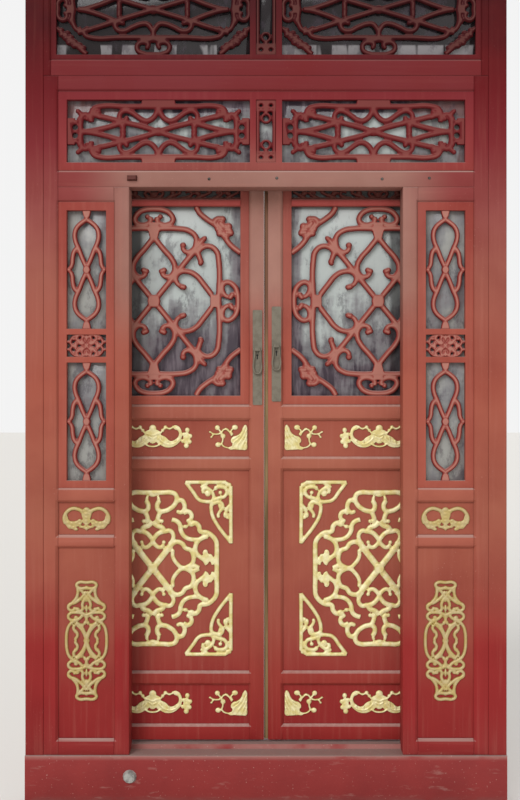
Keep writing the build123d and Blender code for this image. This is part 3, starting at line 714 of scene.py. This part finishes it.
# lattice of the leaves
leafLattice = {
    "centre": (415, 119, 1865), "stroke": 10.9, "depth": 9.6, "raised": 2.5, "voxel": 3.0,
    "strokes": [
        (0.8, (0, 269), (89, 269), (127, 262), (154, 240), (156, 216), (146, 192), (122, 182), (108, 194),
         (107, 205)),
        (0.9, (150, 194), (168, 210), (184, 232)),
        (0.9, (158, 188), (168, 164), (174, 144)),
        (0.9, (240, 0), (240, 150), (231, 186), (205, 204), (180, 199), (164, 184)),
        (1.0, (0, 0), (60, 74), (144, 178), (156, 190)),
        (0.8, (4, 232), (36, 192), (65, 158), (77, 130), (70, 101), (50, 90), (33, 98), (29, 112)),
        (0.8, (214, 24), (185, 62), (156, 96), (127, 110), (98, 108), (82, 91), (86, 67), (103, 54)),
        (0.8, (312, 0), (309, 32), (296, 58), (272, 71), (256, 62), (254, 40), (266, 20), (283, 15)),
        (1.0, (238, 30), (256, 44)),
        (0.8, (0, 342), (36, 338), (62, 322), (70, 298), (55, 285), (26, 286), (12, 298), (12, 312)),
        (1.0, (156, 350), (170, 326), (196, 304), (230, 280), (256, 246), (284, 208), (322, 178)),
        (0.9, (222, 296), (238, 306), (252, 304)),
        (0.9, (258, 272), (278, 268), (284, 254)),
    ],
    "knobs": [(0, 0, 23, 23), (38, 115, 11, 11), (111, 52, 11, 11), (290, 24, 11, 11), (24, 313, 10, 10),
              (108, 207, 12, 12), (186, 231, 10, 13, 40), (174, 144, 11, 14, 20), (254, 305, 14, 12, 30),
              (277, 278, 15, 13, 45), (285, 253, 12, 13), (224, 292, 13, 12), (243, 250, 13, 12),
              (256, 278, 18, 15, 45), (268, 236, 12, 11), (236, 266, 12, 11), (247, 288, 12, 12),
              (270, 254, 12, 12), (29, 111, 12, 11), (103, 54, 11, 12), (283, 14, 11, 10)],
    "discs": [(0, 0, 24)],
    "blocks": [(0, 250, 30, 32, 0, 1.5), (224, 0, 30, 46), (0, 284, 34, 14)],
}
strip = {
    "level": 2258, "stroke": 6, "depth": 7, "voxel": 2.6, "mirror": (True, False), "ratio": 0.4,
    "strokes": [
        (0.7, (0, -14), (22, -6), (34, 8), (22, 14), (12, 6)),
        (0.7, (44, -16), (62, -4), (84, 2), (98, 12), (88, 16)),
        (0.7, (100, -12), (122, -8), (140, 6), (128, 14), (116, 8)),
        (0.7, (150, -16), (172, -4), (196, 4), (210, 14), (198, 16)),
        (0.7, (214, -14), (238, -4), (252, 8), (240, 14), (230, 6)),
        (0.7, (262, -16), (282, -4), (300, 4), (316, 12)),
        (1.0, (0, -15), (120, -15), (240, -15), (320, -15)),
    ],
    "knobs": [(0, 4, 16, 10), (70, 10, 11, 8), (160, 8, 14, 9), (272, 8, 13, 9)],
}
bar = {
    "y": 106.5, "level": 2228, "stroke": 13, "depth": 8.4, "voxel": 3.2, "mirror": (False, False),
    "smoothing": 1, "ratio": 0.3,
    "strokes": [(1.0, (-321, 0), (-160, 0), (0, 0), (160, 0), (321, 0))],
}
carvedLattice, carvedStrip, carvedBar = carve(leafLattice), carve(strip), carve(bar)
for side, sign in sides.items():
    x, y, z = leafLattice["centre"]
    pieces = [copyAt(carvedLattice, (sign * x, y, z)), copyAt(carvedStrip, (sign * x, y, strip["level"]))]
    joinAs(f"{side}_leaf_lattice_carved", pieces, f"{side}_leaf_lattice")
    roundBar = copyAt(carvedBar, (sign * x, bar["y"], bar["level"]))
    stand(roundBar, f"{side}_leaf_round_bar", f"{side}_leaf", "leaf_paint", "barPaint")
discard(carvedLattice, carvedStrip, carvedBar)
print("leaf lattices")


# lattices of the transom and the top transom, on either side of their narrow middle panels
transomLattice = {
    "centre": (388.5, 19, 2471), "stroke": 10.4, "raised": 2, "depth": 9.4, "voxel": 2.8,
    "strokes": [
        (0.9, (0, 91), (120, 91), (214, 91), (235, 82), (244, 60), (242, 34)),
        (0.8, (243, 60), (232, 70), (219, 71)),
        (0.8, (0, 84), (10, 62), (24, 46), (42, 39), (60, 44), (80, 58), (100, 71), (118, 76), (134, 70), (141, 54),
         (133, 40), (120, 40)),
        (1.0, (0, 0), (49, 16), (109, 31), (178, 48), (238, 62)),
        (1.0, (281, 0), (260, 1), (200, 12), (134, 31)),
        (1.0, (129, 0), (129, 12), (131, 26)),
        (0.9, (281, 0), (282, 30), (276, 54), (262, 62), (252, 52)),
        (0.6, (276, 52), (282, 66), (292, 74)),
    ],
    "knobs": [(0, 0, 19, 17), (118, 42, 12, 11), (219, 70, 12, 11), (290, 73, 9, 11, 40), (115, 49, 9, 9),
              (129, 0, 12, 8), (128, 14, 11, 8), (216, 71, 10, 9), (258, 46, 8, 8), (212, 51, 14, 7, -14),
              (286, 44, 9, 14)],
    "blocks": [(0, 103, 122, 24), (310, 0, 32, 80), (316, 0, 28, 96)],
    "holes": [(301, 15, 21, 21), (301, -15, 21, 21), (-301, 15, 21, 21), (-301, -15, 21, 21)],
}
topLattice = {
    "centre": (407.5, 19, 2912.5), "stroke": 9.4, "raised": 2, "depth": 9.4, "voxel": 2.8,
    "strokes": [
        (0.9, (0, 101), (120, 101), (226, 101), (246, 92), (250, 76), (238, 70)),
        (1.0, (0, 100), (0, 84), (8, 66), (22, 52), (41, 51), (75, 63), (110, 78), (134, 68), (136, 50), (120, 44)),
        (1.0, (0, 0), (50, 15), (113, 34), (230, 72), (274, 84)),
        (1.0, (272, 0), (250, 2), (200, 16), (134, 42)),
        (1.0, (123, 0), (124, 26)),
        (0.9, (288, 0), (292, 30), (286, 60), (272, 74), (260, 66)),
        (0.9, (345, 0), (344, 26), (326, 38), (312, 26), (316, 12)),
        (0.9, (240, 162), (262, 144), (285, 122), (321, 92), (350, 66)),
        (0.9, (0, 163), (34, 160), (58, 144), (54, 124), (34, 118), (18, 126), (22, 140)),
    ],
    "knobs": [(0, 0, 19, 17), (109, 50, 8, 8), (123, 0, 11, 7), (123, 13, 10, 6), (214, 67, 15, 8, -16),
              (254, 138, 13, 10), (268, 128, 14, 11), (286, 132, 12, 10), (284, 116, 14, 10, 40),
              (304, 120, 13, 11), (298, 100, 12, 10), (316, 104, 13, 11), (310, 84, 11, 9), (332, 92, 11, 10),
              (332, 74, 10, 9), (239, 70, 11, 11), (120, 45, 11, 11), (298, 40, 9, 15), (318, 14, 8, 8),
              (22, 138, 8, 8), (0, 108, 22, 12)],
    "blocks": [(0, 108, 90, 16), (300, 0, 26, 30)],
}
centrePanel = {"stroke": 5, "depth": 9.4, "voxel": 2.6, "smoothing": 2}


def carveCentre(halfHeight):
    # a narrow frame of strips with an eye in each corner and a drop ring at both ends
    window = halfHeight - 40
    motif = {
        "strokes": [
            (1.0, (28, 0), (28, window)),
            (1.0, (0, window + 3), (34, window + 3)),
            (0.9, (0, window - 8), (12, window - 16), (15, window - 28), (8, window - 38), (0, window - 40)),
            (1.0, (18, halfHeight - 31), (29, halfHeight - 20), (18, halfHeight - 9), (7, halfHeight - 20),
             (18, halfHeight - 31)),
        ],
        "blocks": [(32, 0, 8, 2 * halfHeight - 60), (0, halfHeight - 3, 72, 8), (0, halfHeight - 20, 12, 34),
                   (34, halfHeight - 20, 8, 40), (0, window - 3, 12, 10)],
    }
    return carve(dict(centrePanel, **motif))


for name, lattice in (("transom", transomLattice), ("top_transom", topLattice)):
    wide = carve(lattice)
    if "holes" in lattice:
        pierce(wide, lattice["holes"], lattice["depth"])
    low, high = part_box(f"{name}_lattice")
    narrow = carveCentre((high.z - low.z) / mm / 2)
    x, y, z = lattice["centre"]
    pieces = [copyAt(wide, (-x, y, z)), copyAt(wide, (x, y, z)), copyAt(narrow, (0, y, z))]
    joinAs(f"{name}_lattice_carved", pieces, f"{name}_lattice")
    discard(wide, narrow)
print("transom lattices")


# lattices of the side windows: a loop that crosses itself, above and below a pierced rosette
sideLattice = {
    "stroke": 9.0, "raised": 2, "depth": 9.4, "voxel": 2.6,
    "levels": (1423, 1971.5), "rosetteLevel": 1697, "x": 648, "y": 19,
    "strokes": [
        (1.0, (0, 182), (18, 170), (35, 153), (43, 131), (40, 102), (29, 76), (14, 37), (0, 6)),
        (0.9, (30, 82), (44, 68), (51, 40), (52, 24), (57, 8)),
    ],
    "knobs": [(0, 0, 15, 15), (62, 0, 9, 13), (0, 184, 10, 9), (66, 0, 7, 9)],
    "discs": [(0, 0, 13)],
    "blocks": [(0, 203, 22, 24, 0, 1.5)],
}
rosette = {
    "stroke": 5.5, "depth": 9.4, "voxel": 2.4, "smoothing": 2,
    "strokes": [
        (0.9, (8, 38), (30, 38), (50, 30), (58, 12), (52, 0)),
        (0.9, (52, 0), (44, -4), (36, 4), (42, 14)),
        (0.8, (6, 8), (16, 20), (12, 32), (2, 30)),
        (0.8, (12, 4), (28, 12), (26, 24)),
        (0.8, (30, 36), (36, 24), (30, 16)),
        (1.0, (56, 14), (72, 14)),
        (0.8, (0, 34), (0, 40)),
    ],
    "knobs": [(0, 0, 11, 11), (22, 14, 7, 6), (46, 24, 6, 6), (0, 24, 8, 10), (38, 4, 7, 7)],
}
loop = carve(sideLattice)
flower = carve(rosette)
for side, sign in sides.items():
    x, y = sign * sideLattice["x"], sideLattice["y"]
    pieces = [copyAt(loop, (x, y, level)) for level in sideLattice["levels"]]
    pieces.append(copyAt(flower, (x, y, sideLattice["rosetteLevel"])))
    joinAs(f"{side}_side_lattice_carved", pieces, f"{side}_side_lattice")
discard(loop, flower)
print("side lattices")


# gilded carvings of the leaves; all lie on the panels' faces
medallion = {
    "level": 877, "stroke": 9.3, "depth": 6.9, "voxel": 2.2, "ground": True,
    "fillDepth": 5.4,
    "fills": [[(188, 66), (199, 69), (207, 53), (218, 49), (226, 37), (228, 21), (220, 12), (211, 25), (203, 17),
               (196, 32), (186, 48)]],
    "strokes": [
        (1.0, (0, 280), (36, 280), (70, 280), (84, 273), (89, 256), (80, 234), (62, 219), (45, 212), (24, 213),
         (16, 230), (24, 250)),
        (0.8, (30, 212), (21, 192), (19, 178), (30, 172)),
        (0.8, (85, 246), (105, 252), (117, 237), (116, 217), (103, 206), (93, 210)),
        (0.8, (114, 204), (130, 210), (143, 199), (142, 184), (132, 176)),
        (1.0, (136, 172), (142, 162), (154, 168), (170, 157), (176, 137), (201, 132), (222, 118), (235, 98),
         (237, 74), (237, 48), (237, 22), (237, 0)),
        (0.8, (70, 180), (85, 176), (99, 164), (105, 137), (121, 115), (152, 106), (183, 110), (203, 121)),
        (0.8, (203, 119), (174, 106), (159, 84), (161, 57), (179, 39), (190, 30), (200, 13)),
        (0.8, (66, 84), (85, 97), (108, 92), (121, 75), (141, 66), (150, 48), (148, 21), (130, 6), (110, 2),
         (90, 17), (74, 44), (74, 62)),
        (0.8, (0, 172), (16, 157), (36, 150), (43, 137), (63, 139), (76, 124), (74, 106), (62, 90)),
        (0.8, (43, 137), (23, 130), (8, 115), (1, 101), (10, 86), (28, 77), (42, 88)),
        (1.0, (134, 2), (152, 8), (172, 0)),
    ],
    "more": [{"stroke": 12.2, "strokes": [(1.0, (0, 0), (32, 40), (66, 84))]}],
    "discs": [(0, 0, 17)],
    "knobs": [(0, 0, 21, 21), (22, 256, 7, 13, -12), (34, 174, 8, 8), (194, 60, 7, 9), (212, 47, 9, 7),
              (221, 33, 7, 9), (198, 44, 8, 10, -30), (94, 209, 8, 8), (131, 176, 8, 8), (121, 154, 10, 8),
              (66, 84, 11, 11), (74, 64, 8, 8), (41, 96, 8, 8), (162, 0, 9, 7), (0, 272, 16, 9)],
}
bracket = {
    "level": 877, "stroke": 7.2, "depth": 6.9, "voxel": 2.2, "ground": True,
    "strokes": [
        (1.0, (121, 318), (160, 318), (220, 318), (272, 318)),
        (1.0, (272, 318), (276, 310), (288, 304)),
        (1.0, (289, 304), (289, 240), (289, 160), (290, 92)),
        (1.0, (122, 318), (148, 284), (174, 252), (201, 246), (218, 244), (216, 226), (221, 195), (238, 162),
         (290, 94)),
        (0.8, (183, 284), (192, 297), (207, 293), (225, 270), (221, 250)),
        (1.0, (228, 297), (250, 301), (272, 292), (268, 268), (241, 259), (225, 252)),
        (0.8, (225, 240), (250, 244), (259, 226), (247, 208), (240, 194)),
        (0.6, (288, 236), (272, 214), (276, 188)),
        (0.6, (204, 317), (190, 306), (176, 300)),
    ],
    "knobs": [(204, 277, 12, 13), (250, 228, 8, 13, -20), (267, 198, 7, 12), (232, 294, 8, 7), (250, 280, 8, 8),
              (243, 192, 7, 7), (186, 282, 7, 7), (276, 188, 6, 7), (284, 309, 8, 8)],
}
bat = {
    "stroke": 3.4, "depth": 6.2, "voxel": 1.8, "mirror": (True, False), "ground": True, "smoothing": 2,
    "fillDepth": 4.6,
    "fills": [
        [(16, 10), (11, -8), (30, -25), (57, -34), (89, -23), (107, 2), (106, 30), (94, 46), (78, 47), (79, 36),
         (93, 28), (96, 11), (84, -3), (65, -9), (49, 4), (33, 12)],
        [(-20, 26), (28, 25), (30, 13), (16, 2), (9, -16), (-9, -16), (-16, 2), (-30, 13)],
        [(343, 51), (334, 42), (328, 27), (316, 13), (298, 7), (290, -2), (289, -12), (296, -21), (290, -29),
         (280, -34), (283, -40), (302, -41), (318, -42), (334, -43), (346, -42), (350, -36), (350, -16),
         (350, 4), (350, 26), (348, 46)],
        [(122, 22), (132, 20), (138, 2), (132, -18), (120, -20), (113, 0)],
    ],
    "strokes": [
        (1.0, (14, 18), (26, 19), (37, 29), (48, 40), (62, 36), (76, 42)),
        (1.0, (0, -30), (14, -28), (29, -20)),
        (0.8, (293, 10), (281, 28), (266, 34), (250, 19), (226, 17), (212, 24)),
        (0.8, (226, 17), (222, 12), (217, 5)),
        (0.8, (254, 24), (259, 8), (259, -8), (256, -20), (264, -30), (280, -35)),
        (0.8, (296, 14), (290, 28), (300, 38)),
        (0.8, (256, -20), (249, -22), (242, -23)),
        (0.8, (252, 24), (244, 34), (239, 39)),
        (0.8, (281, 27), (276, 34), (268, 38)),
    ],
    "more": [{"stroke": 3.6, "depth": 6.9, "strokes": [
        (0.8, (22, 2), (34, -10), (50, -20), (72, -21), (92, -10), (101, 10), (98, 30), (86, 41)),
        (0.7, (36, 8), (38, -4), (36, -18)),
        (0.7, (58, -6), (60, -18), (58, -28)),
        (0.7, (82, -4), (88, -12), (92, -18)),
        (0.9, (343, 46), (332, 22), (318, 0), (300, -16), (296, -30)),
        (0.9, (346, 30), (336, 6), (324, -12), (314, -26), (312, -38)),
        (0.9, (347, 10), (341, -8), (333, -22), (330, -38)),
        (0.9, (347, -12), (345, -26), (344, -38)),
        (0.7, (322, 14), (306, 4), (294, -6)),
        (0.8, (-18, 18), (0, 12), (18, 18)),
        (0.8, (-14, 6), (0, 0), (14, 6)),
    ]}],
    "knobs": [(0, 37, 14, 14), (0, -8, 9, 12), (47, 41, 8, 8), (37, 30, 7, 7), (62, 36, 5, 5), (26, 20, 5, 5),
              (76, 42, 6, 6), (30, -20, 6, 5), (128, 31, 9, 10), (116, 15, 8, 8), (138, 9, 9, 9),
              (112, -10, 8, 8), (136, -12, 9, 9), (124, -27, 10, 10), (126, 2, 8, 8), (304, 41, 12, 10),
              (239, 40, 10, 10), (260, 9, 10, 10), (242, -23, 11, 10), (212, 24, 5, 4), (217, 5, 5, 4)],
}


shapes = {"medallion": carve(medallion), "bracket": carve(bracket), "bat": carve(bat)}
print("gilding", {name: len(shape.data.polygons) for name, shape in shapes.items()})
leafGilding = {
    "x": 419, "y": 114,
    "levels": [("medallion", medallion["level"]), ("bracket", bracket["level"]), ("bat", 1357), ("bat", 375)],
}
for side, sign in sides.items():
    x, y = sign * leafGilding["x"], leafGilding["y"]
    pieces = [copyAt(shapes[name], (x, y, level)) for name, level in leafGilding["levels"]]
    joinAs(f"{side}_leaf_gilding_carved", pieces, f"{side}_leaf_gilding")
discard(*shapes.values())


# gilded carvings of the side panels
plaque = {
    "level": 1072.5, "stroke": 6.8, "depth": 6.8, "voxel": 1.8, "mirror": (True, False), "ground": True,
    "smoothing": 2, "fillDepth": 4.8,
    "fills": [
        [(17, -6), (23, -1), (35, -7), (52, -10), (64, -4), (68, 8), (74, 18), (82, 12), (84, -2), (80, -16),
         (72, -27), (64, -36), (52, -37), (38, -43), (32, -40), (37, -31), (26, -27), (17, -18)],
        [(-16, 26), (0, 31), (16, 26), (18, 14), (14, 0), (12, -16), (0, -20), (-12, -16), (-14, 0), (-18, 14)],
        [(-26, -30), (-10, -25), (10, -25), (26, -30), (14, -35), (6, -38), (0, -43), (-6, -38), (-14, -35)],
    ],
    "strokes": [
        (1.0, (14, 27), (30, 34), (46, 37), (62, 32), (76, 17), (81, 0), (76, -18)),
    ],
    "knobs": [(0, 33, 12, 9), (17, 26, 8, 7), (0, 18, 13, 8), (0, 5, 11, 8), (0, -8, 9, 8), (0, -21, 7, 8),
              (0, -35, 6, 7), (14, -30, 8, 5), (24, -7, 8, 7), (37, -15, 9, 8), (52, -17, 9, 9), (66, -14, 9, 9),
              (78, -4, 7, 8), (76, 9, 7, 8), (46, -31, 9, 7), (60, -29, 8, 7), (36, -38, 6, 6), (24, -19, 7, 7)],
}
longMedallion = {
    "level": 632, "stroke": 5.9, "depth": 6.8, "voxel": 1.8, "ground": True, "smoothing": 2,
    "strokes": [
        (1.0, (0, 210), (28, 210), (36, 201), (28, 191), (0, 190)),
        (1.0, (32, 192), (31, 176), (35, 158), (48, 140), (63, 126)),
        (0.9, (26, 190), (16, 178), (6, 166), (0, 154)),
        (0.9, (0, 178), (10, 164), (26, 148), (44, 136), (60, 132), (66, 121), (58, 110), (46, 112), (42, 120)),
        (0.9, (0, 158), (9, 146), (15, 131), (14, 114), (24, 106), (33, 112), (31, 120)),
        (0.9, (0, 92), (16, 99), (40, 102), (58, 99), (66, 88), (58, 76), (44, 75), (35, 83)),
        (1.0, (14, 92), (26, 80), (46, 70), (62, 56), (71, 30), (73, 0)),
        (1.2, (0, 0), (6, 26), (14, 44), (26, 58), (38, 64)),
        (1.0, (0, 0), (11, 30), (22, 46), (32, 56)),
        (0.9, (44, 58), (46, 42), (35, 30), (33, 17), (40, 5), (38, 0)),
        (1.0, (0, 84), (0, 64)),
    ],
    "knobs": [(0, 0, 12, 12), (0, 191, 8, 8), (42, 116, 8, 7), (31, 114, 7, 7), (38, 84, 8, 7), (0, 150, 7, 11),
              (34, 60, 10, 8), (18, 52, 9, 11), (40, 34, 7, 8), (0, 88, 10, 9), (0, 116, 5, 15), (6, 64, 6, 8)],
}
sideGilding = {"x": 648, "y": 14}
sideShapes = [(carve(look), look["level"]) for look in (plaque, longMedallion)]
for side, sign in sides.items():
    x, y = sign * sideGilding["x"], sideGilding["y"]
    pieces = [copyAt(shape, (x, y, level)) for shape, level in sideShapes]
    joinAs(f"{side}_side_gilding_carved", pieces, f"{side}_side_gilding")
discard(*[shape for shape, level in sideShapes])
print("side gilding")


# drop pulls: an egg-shaped ring that is narrow at its pin, and a knuckle round the pin at each side
pull = {
    "places": {"left": (-31.5, 88, 1686), "right": (38.5, 88, 1699)},
    "stroke": 2.9, "depth": 2.6, "voxel": 0.9, "mirror": (True, False), "smoothing": 2, "ratio": 0.5,
    "strokes": [(1.0, (13.4, 0), (10.2, -9), (10.6, -24), (13, -42), (15.2, -60), (13.6, -76), (8, -87),
                 (0, -90.5))],
    "knobs": [(13.6, 0, 3.4, 5.4), (15.0, -56, 2.9, 5), (10, -8, 3.4, 4)],
}
ring = carve(pull)
for side in sides:
    piece = copyAt(ring, pull["places"][side])
    stand(piece, f"{side}_pull_ring", f"{side}_pull", "lock_metal", "lockMetal", f"{side}_pull")
discard(ring)
print("pulls")


# painted shade: dark inlays behind the plates fill the keyholes
keyholes = {"left": (-31.5, 1659), "right": (38.5, 1672), "y": 99.6, "width": 8.6, "height": 22, "depth": 0.2,
            "taper": 0.9}
for side in sides:
    x, z = keyholes[side]
    inlay = addBlock(x, z, keyholes["width"], keyholes["height"], keyholes["depth"], top=keyholes["taper"])
    inlay.location.y = keyholes["y"] * mm
    stand(inlay, f"{side}_keyhole", f"{side}_leaf", "lock_iron", "keyholeDark")


# nail heads on the lintel
nails = {"places": [(-205, 2297), (39, 2300), (418, 2297), (588, 2300)], "radius": 5.5, "depth": 3}


def addNails():
    heads = []
    for x, z in nails["places"]:
        bpy.ops.mesh.primitive_uv_sphere_add(segments=14, ring_count=8, radius=1, location=(x * mm, 0, z * mm))
        head = bpy.context.object
        head.scale = (nails["radius"] * mm, nails["depth"] * mm, nails["radius"] * mm)
        heads.append(head)
    row = joined(heads)
    bpy.ops.object.shade_smooth()
    stand(row, "lintel_nails", "frame", "lock_metal", "lockIron")


addNails()
print("nails")


# the photograph's view: its own pixels, and the size of one of them on the door's front face
view = {"width": 520, "height": 800, "metresPerPixel": 0.0036, "distance": 4.1, "axisColumn": 266,
        "horizonRow": 380, "groundRow": 817, "sensor": 36}


def makeCamera():
    eyeHeight = (view["groundRow"] - view["horizonRow"]) * view["metresPerPixel"]
    bpy.ops.object.camera_add(location=(0, -view["distance"], eyeHeight), rotation=(math.pi / 2, 0, 0))
    camera = bpy.context.object
    camera.data.sensor_width = view["sensor"]
    camera.data.lens = view["distance"] / view["metresPerPixel"] / view["height"] * view["sensor"]
    camera.data.shift_x = (view["width"] / 2 - view["axisColumn"]) / view["height"]
    camera.data.shift_y = (view["horizonRow"] - view["height"] / 2) / view["height"]
    bpy.context.scene.camera = camera


# soft light from the front, a little from above and the left
studio = {
    "worldStrength": 0.50, "seenStrength": 0.9, "aim": (0, 0, 1.5),
    "floorSize": 60, "floorDrop": 0.0005, "floorColour": (226, 223, 218),
    "lamps": {
        "keyLight": {"place": (-4.2, -8.6, 7.2), "softness": 34, "strength": 1.78},
        "fillLight": {"place": (4.6, -8.0, 1.8), "softness": 50, "strength": 0.46},
        "backLight": {"place": (2.6, 8.2, 6.6), "softness": 40, "strength": 1.30},
    },
}


def makeStudio():
    world = bpy.data.worlds.new("studio")
    bpy.context.scene.world = world
    world.use_nodes = True
    sheet = Sheet(world.node_tree)
    rays = [sheet.add("ShaderNodeLightPath", out=f"Is {kind} Ray") for kind in ("Camera", "Glossy", "Transmission")]
    seen = rays[0].largest(rays[1]).largest(rays[2])
    background = world.node_tree.nodes["Background"]
    background.inputs["Color"].default_value = (1, 1, 1, 1)
    strength = seen * (studio["seenStrength"] - studio["worldStrength"]) + studio["worldStrength"]
    sheet.feed(background.inputs["Strength"], strength)
    for name, lamp in studio["lamps"].items():
        bpy.ops.object.light_add(type="SUN", location=lamp["place"])
        light = bpy.context.object
        light.name = name
        light.data.angle = math.radians(lamp["softness"])
        light.data.energy = lamp["strength"]
        towards = Vector(studio["aim"]) - Vector(lamp["place"])
        light.rotation_euler = towards.to_track_quat("-Z", "Y").to_euler()
    bpy.ops.mesh.primitive_plane_add(size=studio["floorSize"], location=(0, 0, -studio["floorDrop"]))
    floor = bpy.context.object
    floor.name = "studioFloor"
    finish = Finish("paleFloor", roughness=0.9, specular=0.2)
    finish.set("Base Color", shade(*studio["floorColour"]))
    floor.data.materials.append(finish.material)


makeCamera()
makeStudio()
bpy.context.view_layer.update()
